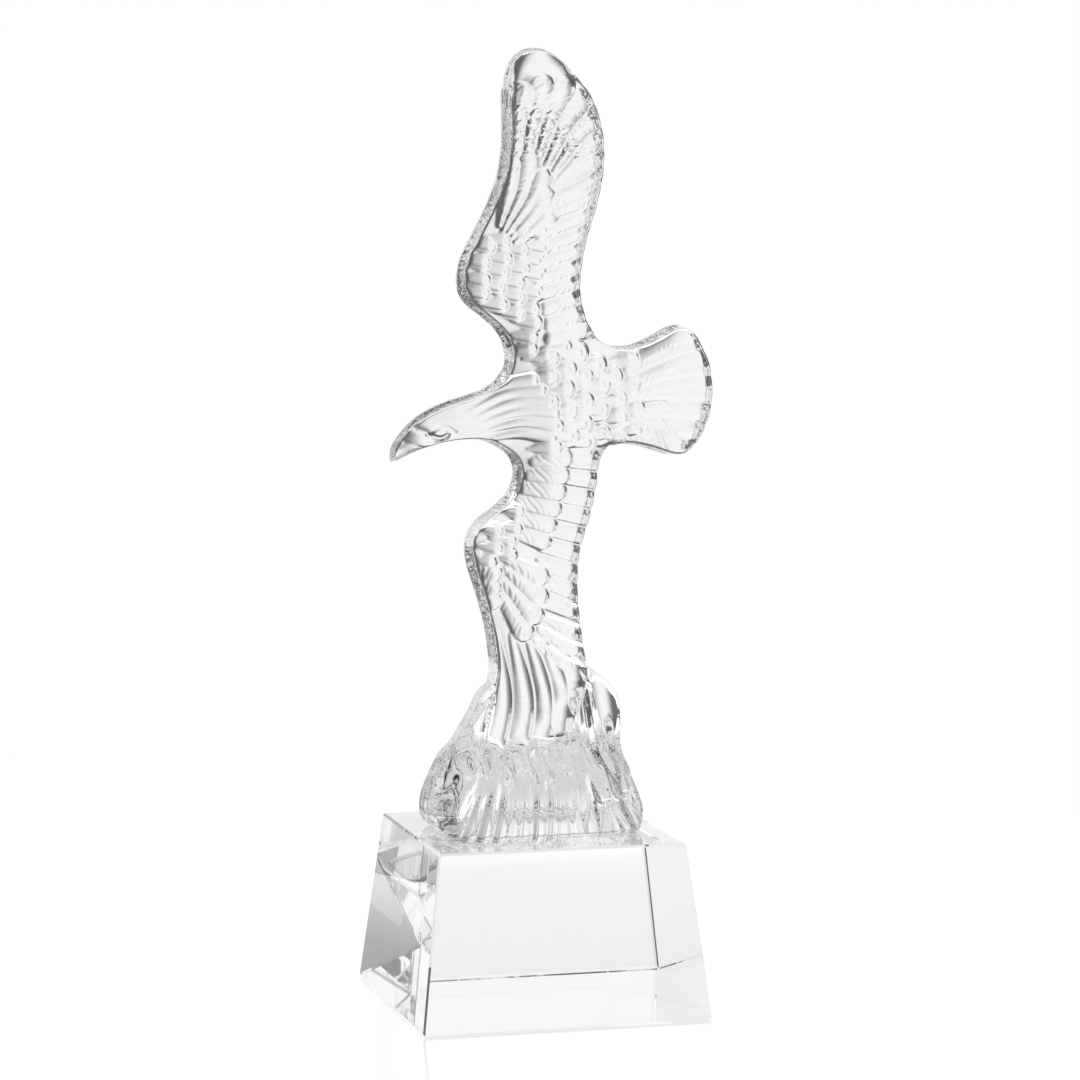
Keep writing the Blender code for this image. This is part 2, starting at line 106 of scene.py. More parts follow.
# Camera
CAMERA_PLACE = (-0.29199, -1.10494, 0.25048)
CAMERA_TURN = (84.608, 0, -14.938)
CAMERA_LENS = 124.53

# Glass
GLASS_IOR = 1.5
GLASS_BOUNCES = 24            # how often light may turn inside it
EAGLE_TINT = (0.988, 0.984, 0.978)
BLOCK_TINT = (0.988, 0.987, 0.983)
EAGLE_POLISH = (0.15, 90)     # strength and scale of the faint unevenness of its surface
BLOCK_POLISH = (0.02, 30)
POLISH_DEPTH = 0.0002
POLISH_DETAIL = 2.0
ROUGHEST = 0.02

# Studio: directions in degrees from the middle of a screen, heights as sines over the horizon
SCREEN_TURN = 75.0            # the way to the screen behind the object, from +X
SCREEN_LEFT = (6, 24)         # where the screen begins to fade to its left, and where it ends
SCREEN_RIGHT = (-2, -24)      # and to its right
SCREEN_TOP = 0.44
SCREEN_FADE = 0.20
BOX_SIDES = (15, 44)          # a softbox to the left of each screen
BOX_HEIGHTS = (-0.16, 0.44)
BOX_SOFT = (6, 0.06)          # how softly it ends at its sides and at its top and foot
BOX_LIGHT = 0.9               # its brightness, as a share of the screens'
OVERHEAD = (0.86, 0.93)       # where the light over the object begins and is full
SCREEN = (0.95, 0.947, 0.94)
ROOM = (0.100, 0.098, 0.104)
FLOOR_SIDE = 0.6
FLOOR_DROP = 0.0003
FLOOR_TONE = 0.94
FLOOR_ROUGHNESS = 0.15
FLOOR_REACH = (0.14, 0.28)    # how far from the block the floor gets brighter, from where to where
FLOOR_GLOW = (0.56, 0.90)     # its own painted glow before that and after it: the lower one is painted shade round the block's foot

# The bird's outline, in thousandths of its height: across to the right, and up from the foot
CROWN_AND_UPPER_WING = [
    (-182, 480), (-181, 493), (-173, 507), (-158, 523), (-138, 537), (-112, 549), (-78, 559),
    (-53, 569), (-36, 584), (-28, 604), (-31, 628), (-42, 647), (-60, 663), (-83, 682), (-92, 705),
    (-87, 735), (-72, 764), (-54, 799), (-40, 836), (-32, 875), (-31, 915), (-32, 952), (-26, 981),
    (-9, 997), (17, 998), (44, 981), (68, 951), (83, 917), (90, 880), (88, 842), (79, 800),
    (66, 757), (59, 715), (59, 687), (67, 657), (83, 633), (109, 619),
]
TAIL = [
    (109, 619), (136, 620), (166, 632), (190, 644), (208, 642), (223, 620), (233, 594), (236, 562),
    (232, 533), (221, 506), (204, 487), (187, 483), (156, 492), (125, 498), (97, 495),
]
LOWER_TRAILING_EDGE = [
    (97, 495), (84, 475), (80, 444), (71, 403), (59, 364), (55, 327), (57, 285), (63, 240), (68, 211),
]
TIP_OVER_MOUND = [
    (68, 211), (67, 185), (57, 156), (48, 132), (28, 114), (8, 107), (-15, 95), (-40, 86), (-60, 93),
    (-71, 110), (-67, 132), (-59, 162), (-54, 192),
]
LOWER_WING_TO_BEAK = [
    (-54, 192), (-50, 220), (-55, 262), (-67, 306), (-80, 348), (-81, 376), (-68, 397), (-44, 415),
    (-25, 434), (-17, 457), (-21, 479), (-38, 495), (-65, 506), (-106, 505), (-146, 495), (-182, 480),
]
MOUND_RIGHT = [
    (68, 211), (78, 205), (97, 189), (112, 172), (115, 150), (112, 112), (117, 84), (129, 54),
    (137, 30), (136, 12), (128, 0),
]
MOUND_LEFT = [
    (-125, 0), (-136, 10), (-139, 28), (-131, 60), (-119, 90), (-101, 122), (-84, 149), (-70, 177),
    (-54, 192),
]
# How far the mound stands out in front of its middle, in thousandths of its half depth, by height
MOUND_PROFILE = [
    (0, 930), (8, 1000), (40, 985), (66, 930), (82, 820), (93, 640), (102, 430), (112, 290),
    (130, 220), (170, 190), (215, 160),
]

UNIT = EAGLE_HEIGHT / 1000


def share(metres):
    """A length as thousandths of the eagle's height."""
    return metres / UNIT


def smooth_step(value, low, high):
    ramp = np.clip((value - low) / (high - low), 0, 1)
    return ramp * ramp * (3 - 2 * ramp)


def resample(line, step):
    """Points along a line of points, evenly spaced, both ends kept."""
    lengths = np.hypot(*np.diff(line, axis=0).T)
    reach = np.concatenate([[0], np.cumsum(lengths)])
    count = max(1, round(reach[-1] / step))
    where = np.linspace(0, reach[-1], count + 1)
    return np.column_stack([np.interp(where, reach, line[:, 0]), np.interp(where, reach, line[:, 1])])


def smooth_curve(points, step):
    """A smooth curve through the points, as evenly spaced points."""
    p = np.array(points, float)
    p = np.vstack([2 * p[0] - p[1], p, 2 * p[-1] - p[-2]])
    t = np.linspace(0, 1, 12, endpoint=False)[:, None]
    spans = []
    for a, b, c, d in zip(p, p[1:], p[2:], p[3:]):
        spans.append(b + 0.5 * t * (c - a + t * (2 * a - 5 * b + 4 * c - d + t * (3 * (b - c) + d - a))))
    return resample(np.vstack(spans + [p[-2:-1]]), step)


def joined(stretches, step):
    """A closed outline from open stretches that meet at their ends."""
    return np.vstack([smooth_curve(stretch, step)[:-1] for stretch in stretches])


def bird_outline(step):
    return joined([CROWN_AND_UPPER_WING, TAIL, LOWER_TRAILING_EDGE, TIP_OVER_MOUND, LOWER_WING_TO_BEAK], step)


def whole_outline(step):
    foot = [MOUND_RIGHT[-1], MOUND_LEFT[0]]
    return joined([CROWN_AND_UPPER_WING, TAIL, LOWER_TRAILING_EDGE, MOUND_RIGHT, foot, MOUND_LEFT,
                   LOWER_WING_TO_BEAK], step)


def outward(outline):
    """Unit normals of a clockwise outline, pointing out of it."""
    along = np.roll(outline, -1, axis=0) - np.roll(outline, 1, axis=0)
    normal = np.column_stack([-along[:, 1], along[:, 0]])
    return normal / np.hypot(*normal.T)[:, None]


def depth_inside(points, outline):
    """Distance of each point from the outline, positive inside it."""
    best = np.full(len(points), 1e9)
    inside = np.zeros(len(points), bool)
    for a, b in zip(outline, np.roll(outline, -1, axis=0)):
        step = b - a
        along = np.clip(((points - a) @ step) / (step @ step), 0, 1)
        away = np.hypot(*(points - a - along[:, None] * step).T)
        best = np.minimum(best, away)
        crosses = (a[1] > points[:, 1]) != (b[1] > points[:, 1])
        if a[1] != b[1]:
            inside ^= crosses & (points[:, 0] < a[0] + (points[:, 1] - a[1]) / (b[1] - a[1]) * step[0])
    return np.where(inside, best, -best)


class Grid:
    """Values on an even grid over the eagle, read back between the grid's points."""

    def __init__(self, low, high, step):
        self.low = np.array(low, float)
        self.step = step
        self.columns = int((high[0] - low[0]) / step) + 1
        self.rows = int((high[1] - low[1]) / step) + 1
        x, z = np.meshgrid(self.low[0] + np.arange(self.columns) * step,
                           self.low[1] + np.arange(self.rows) * step)
        self.points = np.column_stack([x.ravel(), z.ravel()])

    def blurred(self, values, radius):
        """Values with a soft blur of that radius, in grid steps."""
        reach = int(math.ceil(radius * 2.5))
        weights = np.exp(-0.5 * (np.arange(-reach, reach + 1) / radius) ** 2)
        weights /= weights.sum()
        picture = values.reshape(self.rows, self.columns)
        for axis in (0, 1):
            padded = np.pad(picture, [(reach, reach) if axis == k else (0, 0) for k in (0, 1)], mode="edge")
            size = picture.shape[axis]
            picture = sum(w * np.take(padded, range(i, i + size), axis=axis) for i, w in enumerate(weights))
        return picture.ravel()

    def read(self, values, points):
        picture = values.reshape(self.rows, self.columns)
        x, z = ((points - self.low) / self.step).T
        x = np.clip(x, 0, self.columns - 1.001)
        z = np.clip(z, 0, self.rows - 1.001)
        i, j = x.astype(int), z.astype(int)
        u, v = x - i, z - j
        return (picture[j, i] * (1 - u) * (1 - v) + picture[j, i + 1] * u * (1 - v)
                + picture[j + 1, i] * (1 - u) * v + picture[j + 1, i + 1] * u * v)

    def slope(self, values):
        """Steepness of values in metres, as rise over run."""
        down, across = np.gradient(values.reshape(self.rows, self.columns), self.step * UNIT)
        return np.hypot(down, across).ravel()


def even_noise(points, size, seed):
    """A smooth, even, repeatable unevenness from -1 to 1, with features of about that size."""
    x, z = points.T / size
    total = np.zeros(len(points))
    for k in range(6):
        turn = seed * 1.7 + k * 2.399
        wave = 1.0 + 0.37 * k
        total += np.sin((x * math.cos(turn) + z * math.sin(turn)) * wave * 2.2 + seed * 3.1 + k * 1.3
                        + 0.8 * np.sin((x * math.sin(turn) - z * math.cos(turn)) * wave + k))
    return total / 3.2


class Lobe:
    """One raised feather, lock or flute: a rounded strip along a spine, highest at its tip end."""

    def __init__(self, spine, half_widths, lifts=(0.1, 1.0), crown=1.0, tilt=0.0, carving="plain"):
        self.spine = smooth_curve(spine, SPINE_STEP)
        self.half_widths = half_widths
        self.lifts = lifts
        self.crown = crown
        self.tilt = tilt
        self.carving = carving

    def measure(self, points):
        """For the points near the lobe: which they are, how far along and beside the spine they lie,
        and the lobe's height there in metres."""
        margin = max(self.half_widths) + 8
        low, high = self.spine.min(axis=0) - margin, self.spine.max(axis=0) + margin
        near = np.flatnonzero(np.all((points > low) & (points < high), axis=1))
        p = points[near]
        away = np.full(len(p), 1e9)
        along = np.zeros(len(p))
        side = np.zeros(len(p))
        spans = len(self.spine) - 1
        for i, (a, b) in enumerate(zip(self.spine, self.spine[1:])):
            step = b - a
            length = math.hypot(*step)
            ahead = np.maximum(((p - a) @ step) / length ** 2, 0)
            part = np.minimum(ahead, 1)
            gap = p - a - part[:, None] * step
            distance = np.hypot(*gap.T)
            closer = distance < away
            away = np.where(closer, distance, away)
            along = np.where(closer, i + (ahead if i == spans - 1 else part), along)
            side = np.where(closer, (step[0] * gap[:, 1] - step[1] * gap[:, 0]) / length, side)
        half = np.interp(along / spans, (0, 1), self.half_widths)
        lift = np.interp(along / (spans + self.half_widths[1] / SPINE_STEP), (0, 1), self.lifts)
        ratio = np.minimum(away / half, 1)
        tilt = self.tilt * np.clip(side / half, -1, 1)
        beyond = np.maximum(away - half, 0) * UNIT * FEATHER_SLOPE
        rise = FEATHER_LIFT * (lift + tilt) + FEATHER_CROWN * self.crown * (1 - ratio ** 2) - beyond
        return near, along * SPINE_STEP, side, away / half, rise


def fan(roots, tips, count, bend=0.0, spread=0.5, tuck=0.0, stack=0.0, lifts=(0.15, 0.8), **looks):
    """Feathers side by side, from a line of roots to a line of tips, tucked a share of their length
    under what covers their roots. With stack, each lies that much lower than the one before it."""
    at = (np.arange(count * 2 + 1)) / 2
    root_line = smooth_curve(roots, 1)
    tip_line = smooth_curve(tips, 1)
    root = root_line[np.round(at / count * (len(root_line) - 1)).astype(int)]
    tip = tip_line[np.round(at / count * (len(tip_line) - 1)).astype(int)]
    feathers = []
    for i in range(1, 2 * count, 2):
        width_root = math.hypot(*(root[i + 1] - root[i - 1])) * spread
        width_tip = math.hypot(*(tip[i + 1] - tip[i - 1])) * spread
        way = tip[i] - root[i]
        middle = (root[i] + tip[i]) / 2 + bend * np.array([-way[1], way[0]])
        end = tip[i] - way / math.hypot(*way) * width_tip
        start = root[i] - way * tuck
        lower = stack * (i // 2)
        feathers.append(Lobe([start, middle, end], (width_root, width_tip),
                             lifts=(lifts[0] - lower, lifts[1] - lower), **looks))
    return feathers


def scales(low, high, step, size, direction, outline, **looks):
    """Small overlapping feathers in staggered rows that fill a box from its upper right corner, where
    the outline leaves room."""
    along = np.array(direction) / math.hypot(*direction)
    across = np.array([-along[1], along[0]])
    found = []
    for i in range(14):
        for j in range(-12, 13):
            uneven = 0.12 * np.array([math.sin(i * 5.1 + j * 2.3), math.sin(i * 3.7 + j * 7.9)])
            tip = np.array(high) - along * (i + uneven[0]) * step[0]
            tip = tip + across * (j + 0.5 * (i % 2) + uneven[1]) * step[1]
            if np.all(tip >= low) and np.all(tip <= high):
                found.append(tip)
    room = depth_inside(np.array(found), outline)
    length = step[0] + size * 0.3
    return [Lobe([tip - along * length, tip - along * length / 2, tip], (size * 0.5, size), **looks)
            for tip, space in zip(found, room) if space > size * 0.4]


def feathers(outline):
    """Every carved feather on the front, in groups."""
    small = {"lifts": (-0.3, 0.85), "crown": 0.9, "carving": "scale"}
    return {
        "upper coverts": scales((-95, 622), (7, 772), (24, 20), 10.5, (1, -0.12), outline, **small),
        "upper secondaries": fan([(30, 822), (21, 790), (20, 740), (22, 690), (32, 628)],
                                 [(100, 860), (88, 784), (76, 722), (75, 690), (90, 644)], 10,
                                 bend=-0.04, tuck=0.2, tilt=-0.15, crown=1.2, carving="rising barbs"),
        "upper primaries": fan([(-34, 842), (-2, 856), (24, 858), (36, 842), (26, 820)],
                               [(-30, 948), (2, 966), (58, 958), (94, 920), (102, 856)], 7,
                               bend=0.05, tuck=0.3, tilt=-0.2, lifts=(-0.4, 0.7), crown=1.0,
                               carving="barbs"),
        "upper primary coverts": fan([(-52, 780), (-40, 772), (-26, 754)],
                                     [(-44, 862), (4, 862), (28, 784)], 5, bend=-0.04, spread=0.54,
                                     carving="barbs"),
        "shoulder": scales((-20, 596), (34, 622), (24, 22), 11, (1, 0.1), outline, **small),
        "breast": scales((4, 494), (142, 618), (22, 29), 15, (1, 0.06), outline, lifts=(-0.5, 0.9),
                         crown=1.0, carving="scale"),
        "tail top": fan([(128, 608), (140, 590), (140, 552)], [(218, 662), (246, 612), (251, 551)], 3,
                        bend=0.03, tuck=0.15, lifts=(0.1, 0.6), tilt=-0.3, carving="rising barbs"),
        "tail": fan([(144, 546), (132, 532), (118, 502)], [(251, 551), (242, 512), (210, 471)], 3,
                    bend=0.05, tuck=0.15, lifts=(0.0, 0.6), tilt=-0.4, carving="barbs"),
        "neck": fan([(-92, 558), (-78, 530), (-66, 500)], [(-4, 592), (30, 540), (24, 498)], 6,
                    bend=0.07, lifts=(-0.6, 0.7), crown=1.1, carving="lines"),
        "lower secondaries": fan([(47, 492), (44, 460), (36, 418), (22, 376), (18, 331), (10, 289)],
                                 [(102, 486), (93, 457), (85, 410), (72, 364), (65, 317), (65, 268)], 9,
                                 tuck=0.2, crown=0.8, tilt=-0.4, carving="barbs"),
        "lower inner coverts": fan([(2, 488), (-14, 440), (-30, 380)], [(48, 492), (36, 430), (14, 362)],
                                   6, lifts=(0.0, 0.9), crown=0.6, tilt=-0.35, carving="barbs"),
        "lower coverts": scales((-84, 345), (-28, 414), (21, 20), 10, (1, -0.2), outline, **small),
        "lower long coverts": fan([(-34, 358), (-38, 345), (-41, 332), (-48, 321), (-60, 314)],
                                  [(13, 338), (12, 308), (7, 280), (-4, 257), (-20, 238)], 4,
                                  spread=0.46, stack=0.15, lifts=(0.3, 1.2), crown=0.6,
                                  carving="barbs"),
        "lower edge coverts": fan([(-78, 366), (-78, 322)], [(-50, 336), (-54, 280)], 3, spread=0.6,
                                  stack=0.2, lifts=(0.0, 0.9), crown=0.6, carving="barbs"),
        "lower outer secondaries": fan([(18, 284), (6, 262), (-4, 240)], [(71, 268), (81, 224), (83, 186)],
                                       3, bend=-0.04, lifts=(-0.3, 0.6), tilt=-0.4, carving="barbs"),
        "lower primaries": fan([(-64, 256), (-15, 252), (38, 240)],
                               [(-78, 98), (-42, 86), (2, 94), (40, 126), (68, 166)], 5, bend=0.07,
                               lifts=(-0.7, 0.7), crown=1.5, tilt=0.2),
    }


def mound_flutes():
    """Rough upright flutes round the mound, and the slanting lumps of its two shoulders."""
    flutes = []
    for i in range(FLUTE_COUNT):
        across = (i + 0.5) / FLUTE_COUNT * 2 - 1
        uneven = math.sin(i * 12.9) * 0.5 + math.sin(i * 4.7) * 0.5
        foot = np.array([across * 130 + uneven * 4, 6])
        top = np.array([across * 100 + uneven * 5, 98 - 34 * across ** 2 + uneven * 18])
        flutes.append(Lobe([top, (top + foot) / 2 + (uneven * 3, 0), foot],
                           (6 + uneven, 9.5 + 1.5 * uneven), lifts=(-0.9, 0.9 + 0.3 * uneven), crown=1.4))
    shoulders = [
        Lobe([(89, 194), (100, 150), (117, 82)], (15, 7), lifts=(0.8, 1.2), crown=1.5),
        Lobe([(70, 180), (79, 130), (97, 60)], (8, 11), lifts=(0.0, 1.0), crown=1.8),
        Lobe([(50, 142), (57, 100), (70, 50)], (7, 10), lifts=(-0.6, 0.9), crown=1.8),
        Lobe([(-60, 180), (-78, 140), (-92, 98)], (9, 15), lifts=(0.0, 0.9), crown=1.5),
        Lobe([(-74, 128), (-100, 84), (-124, 36)], (9, 13), lifts=(-0.4, 1.0), crown=1.8),
    ]
    return flutes + shoulders


def fine_carving(kind, along, side, reach):
    """Small relief on one feather, in metres: along and side in thousandths of the bird's height."""
    edge = 1 - smooth_step(reach, 0.75, 0.95)
    if kind in ("barbs", "rising barbs"):
        lean = -0.9 if kind == "rising barbs" else 0.9
        slant = along + side * lean + 2 * np.sin(along * 0.21)
        strokes = np.maximum(np.sin(slant * 0.72), 0) ** 3 * (0.5 + 0.5 * np.sin(along * 0.13 + side * 0.2))
        shaft = np.exp(-(side / 1.3) ** 2)
        lower = 1 - smooth_step(side, -1, 4) * (kind == "rising barbs")
        return edge * (SHAFT_HEIGHT * shaft - BARB_DEPTH * strokes * lower)
    if kind == "scale":
        arc = np.exp(-((reach - 0.6) / 0.13) ** 2)
        rays = np.maximum(np.sin(side * 0.8 + 0.6), 0) ** 3 * smooth_step(reach, 0.1, 0.4)
        return edge * (-BARB_DEPTH * 0.8 * rays - INNER_ARC * arc)
    if kind == "lines":
        return edge * BARB_DEPTH * 0.3 * np.sin(side * 2.1 + 0.5 * np.sin(along * 0.2))
    return np.zeros(len(along))


def highest(lobes, points):
    """Height of the highest lobe at each point with its fine carving, or the ground, in metres."""
    top = np.zeros(len(points))
    fine = np.zeros(len(points))
    for lobe in lobes:
        near, along, side, reach, rise = lobe.measure(points)
        wins = rise > top[near]
        top[near[wins]] = rise[wins]
        fine[near[wins]] = fine_carving(lobe.carving, along[wins], side[wins], reach[wins])
    return top + fine


def cut(points, line, half_width):
    """How much of a groove along the line is felt at each point, from 0 to 1."""
    curve = smooth_curve(line, 1)
    result = np.zeros(len(points))
    margin = half_width * 3
    near = np.all((points > curve.min(axis=0) - margin) & (points < curve.max(axis=0) + margin), axis=1)
    nearest = np.full(near.sum(), 1e9)
    for a in curve:
        nearest = np.minimum(nearest, np.hypot(*(points[near] - a).T))
    result[near] = np.exp(-(nearest / half_width) ** 2)
    return result


def face_relief(points):
    """The eagle's mouth, cere, eye hollow, eye and brow, in metres."""
    relief = -0.9 * cut(points, [(-181, 484), (-172, 490), (-159, 495), (-140, 496)], 2.2)
    relief -= 0.4 * cut(points, [(-170, 503), (-157, 500), (-149, 497)], 2.0)
    relief -= 1.2 * cut(points, [(-156, 521), (-148, 518), (-140, 514)], 4.0)
    relief -= 1.0 * cut(points, [(-140, 513), (-124, 508), (-114, 513)], 2.0)
    relief -= 0.7 * cut(points, [(-135, 516), (-126, 522), (-116, 522), (-105, 516)], 1.8)
    relief += 0.5 * cut(points, [(-131, 516), (-119, 516)], 3.5)
    return FACE_RELIEF * relief


def plate_depth(points, outline, relief):
    """Distance of the bird's face from the middle plane, in metres."""
    inside = depth_inside(points, outline) * UNIT
    head = smooth_step(-points[:, 0], 60, 190) * 0.3 + smooth_step(-points[:, 0], 140, 186) * 0.3
    tip = smooth_step(points[:, 1], *TIP_HEIGHTS)
    breast = np.exp(-((points[:, 0] - 60) ** 2 + (points[:, 1] - 555) ** 2) / 90 ** 2)
    crown = (PLATE_CROWN + BODY_CROWN * breast) * (1 - np.exp(-np.maximum(inside, 0) / CROWN_REACH))
    round_off = EDGE_ROUND + (TIP_ROUND - EDGE_ROUND) * tip
    short = np.maximum(round_off - np.maximum(inside, 0), 0)
    edge = round_off - np.sqrt(np.maximum(round_off ** 2 - short ** 2, 0))
    carved = relief * (0.75 + 0.25 * smooth_step(inside, 0, EDGE_FADE))
    depth = (PLATE_THICKNESS / 2 + crown) * (1 - head) - edge + carved
    return depth + np.minimum(inside, 0) * 3


def mound_depth(points, relief):
    """Distance of the mound's surface from the middle plane, in metres, and none above it."""
    x, z = points.T
    left = smooth_curve(MOUND_LEFT, 3)
    right = smooth_curve(MOUND_RIGHT, 3)[::-1]
    low = np.interp(z, *left.T[::-1])
    high = np.interp(z, *right.T[::-1])
    ratio = np.clip((x - (low + high) / 2) / ((high - low) / 2), -1, 1)
    tops = np.sin(x * 0.23 + 1.2 * np.sin(x * 0.071)) * (0.6 + 0.4 * np.sin(x * 0.11 + 2))
    shelf = z + SHELF_UNEVEN * tops * smooth_step(z, 40, 90)
    middle = np.interp(shelf, *smooth_curve(MOUND_PROFILE, 10).T) / 1000 * MOUND_HALF_DEPTH
    swell = (1 - ratio ** MOUND_SQUARE) ** (1 / MOUND_SQUARE)
    depth = MOUND_SIDE + (middle - MOUND_SIDE) * swell + relief * np.minimum(swell * 3, 1)
    return np.where(z < MOUND_TOP, depth, 0)


def surface(points, outline, bird_relief, mound_relief):
    """Depth of the whole face: the bird's plate or the mound, whichever stands further out."""
    return np.maximum(plate_depth(points, outline, bird_relief), mound_depth(points, mound_relief))


def lattice(low, high, step):
    """An even spread of points over a box."""
    rows = np.arange(low[1], high[1], step * 0.866)
    columns = np.arange(low[0], high[0], step)
    x, row = np.meshgrid(columns, np.arange(len(rows)))
    return np.column_stack([(x + step / 2 * (row % 2)).ravel(), rows[row.ravel()]])


def edge_rings(outline):
    """Rings of points inside the outline, closer together towards it, that carry the rounded edge."""
    rough = whole_outline(ROUGH_RIM)
    tip = smooth_step(outline[:, 1], *TIP_HEIGHTS)[:, None]
    radius = share(EDGE_ROUND + (TIP_ROUND - EDGE_ROUND) * tip)
    rings = []
    for turn in EDGE_TURNS:
        inset = radius * (1 - math.cos(math.radians(turn)))
        ring = outline - outward(outline) * inset
        kept = depth_inside(ring, rough) > inset[:, 0] * 0.85
        rings.append(ring[kept])
    return rings


def sheet(outline, steep, fine, coarse):
    """Triangles that fill the outline, with the outline's own points first: close together where
    steep says so."""
    rough = whole_outline(ROUGH_RIM)
    low, high = outline.min(axis=0), outline.max(axis=0)
    close = lattice(low, high, fine)
    wide = lattice(low, high, coarse)
    inner = np.vstack([close[steep(close)], wide[~steep(wide)]])
    tip = smooth_step(inner[:, 1], *TIP_HEIGHTS)
    margin = share(EDGE_ROUND + (TIP_ROUND - EDGE_ROUND) * tip * 0.8) + fine * 0.6
    inner = inner[depth_inside(inner, rough) > margin]
    points = np.vstack([outline] + edge_rings(outline) + [inner])
    corners, _, faces, _, _, _ = delaunay_2d_cdt([Vector(p) for p in points], [],
                                                 [list(range(len(outline)))], 1, 1e-4)
    return np.array([tuple(c) for c in corners]), faces


def eagle_mesh():
    outline = whole_outline(share(RIM))
    bird = bird_outline(BIRD_RIM)
    grid = Grid((-196, -6), (246, 1006), share(GRID))
    groups = feathers(bird)
    front = [lobe for group in groups.values() for lobe in group]
    back = groups["upper primaries"] + groups["tail"] + groups["lower primaries"]
    soft = SOFTNESS / GRID

    relief = grid.blurred(highest(front, grid.points) + face_relief(grid.points), soft)
    back_relief = grid.blurred(highest(back, grid.points), soft * 2) * BACK_RELIEF
    flutes = grid.blurred(highest(mound_flutes(), grid.points), soft * 1.5) * FLUTE_DEPTH / FEATHER_LIFT
    rough = even_noise(grid.points, 4.6, 1) * even_noise(grid.points, 6.1, 2)
    height = grid.points[:, 1]
    stippled = smooth_step(height, *STIPPLE_FOOT) * (1 - smooth_step(height, *STIPPLE_TOP))
    back_relief = back_relief + STIPPLE * rough * stippled
    steepness = grid.blurred(grid.slope(relief + mound_depth(grid.points, flutes)), 2.0)

    def steep(points):
        return grid.read(steepness, points) > STEEP

    def rough_back(points):
        return grid.read(stippled, points) > 0.3

    points, faces = sheet(outline, steep, share(FINE), share(COARSE))
    depth = surface(points, bird, grid.read(relief, points), grid.read(flutes, points))
    back_points, back_faces = sheet(outline, rough_back, share(STIPPLE_FINE), share(BACK_FINE))
    back_depth = surface(back_points, bird, grid.read(back_relief, back_points),
                         grid.read(flutes, back_points) * BACK_RELIEF)
    return closed_body(outline, (points, depth, faces), (back_points, back_depth, back_faces))


def closed_body(outline, front, back):
    """Front and back sheets joined by a rippled wall along their common outline."""
    rise = BLOCK_HEIGHT + SEAT_GAP
    count = len(outline)
    normal = outward(outline)
    wide = share(DRAFT) * smooth_step(outline[:, 1], *DRAFT_HEIGHTS)
    reach = np.concatenate([[0], np.cumsum(np.hypot(*np.diff(outline, axis=0).T))])
    verts, faces = [], []

    def add_sheet(points, depth, triangles, side, flip):
        """Adds one sheet on its side of the middle plane: the number of its first point, and its points."""
        start = sum(len(v) for v in verts)
        place = np.column_stack([points[:, 0] * UNIT, side * depth, points[:, 1] * UNIT + rise])
        verts.append(place)
        for a, b, c in triangles:
            faces.append((start + a, start + c, start + b) if flip else (start + a, start + b, start + c))
        return start, place

    front_start, front_place = add_sheet(*front, -1, False)
    back_start, back_place = add_sheet(*back, 1, True)
    back_place[:count, 0] += normal[:, 0] * wide * UNIT
    back_place[:count, 2] += normal[:, 1] * wide * UNIT

    rows = [np.arange(count) + front_start]
    for k in range(1, WALL_ROWS):
        t = k / WALL_ROWS
        row = front_place[:count] * (1 - t) + back_place[:count] * t
        waves = np.sin(reach * 0.38 + 1.6 * np.sin(t * 4 + reach * 0.11)) + np.sin(reach * 0.83 + t * 5)
        sunk = WALL_RIPPLE * math.sin(math.pi * t) * (0.5 * waves - 1) * smooth_step(outline[:, 1], 4, 20)
        row[:, 0] += normal[:, 0] * sunk
        row[:, 2] += normal[:, 1] * sunk
        start = sum(len(v) for v in verts)
        verts.append(row)
        rows.append(np.arange(count) + start)
    rows.append(np.arange(count) + back_start)
    for low, high in zip(rows, rows[1:]):
        for i in range(count):
            j = (i + 1) % count
            faces.append((low[i], low[j], high[j]))
            faces.append((low[i], high[j], high[i]))
    place = np.vstack(verts)
    underside = place[:, 2] < rise + UNIT / 2
    place[underside, 2] -= BOND
    mesh = bpy.data.meshes.new("eagle_glass_body")
    mesh.from_pydata(place.tolist(), [], [tuple(int(v) for v in f) for f in faces])
    mesh.validate()
    body = bmesh.new()
    body.from_mesh(mesh)
    bmesh.ops.recalc_face_normals(body, faces=body.faces[:])
    body.to_mesh(mesh)
    body.free()
    mesh.shade_smooth()
    return mesh


def block_mesh():
    """The square block, narrower at the top, with polished edges."""
    body = bmesh.new()
    turn = Matrix.Rotation(math.radians(45), 4, "Z")
    lift = Matrix.Translation((0, 0, BLOCK_HEIGHT / 2))
    bmesh.ops.create_cone(body, cap_ends=True, segments=4, radius1=BLOCK_FOOT_SIDE / math.sqrt(2),
                          radius2=BLOCK_TOP_SIDE / math.sqrt(2), depth=BLOCK_HEIGHT, matrix=lift @ turn)
    bmesh.ops.bevel(body, geom=body.edges[:], offset=BLOCK_EDGE, segments=1, profile=0.5, affect="EDGES")
    mesh = bpy.data.meshes.new("base_block_glass")
    body.to_mesh(mesh)
    body.free()
    return mesh


def ranged_node(nodes, low, high, start, end):
    """A node that turns values from low to high into values from start to end."""
    node = nodes.new("ShaderNodeMapRange")
    for name, number in zip(("From Min", "From Max", "To Min", "To Max"), (low, high, start, end)):
        node.inputs[name].default_value = number
    return node


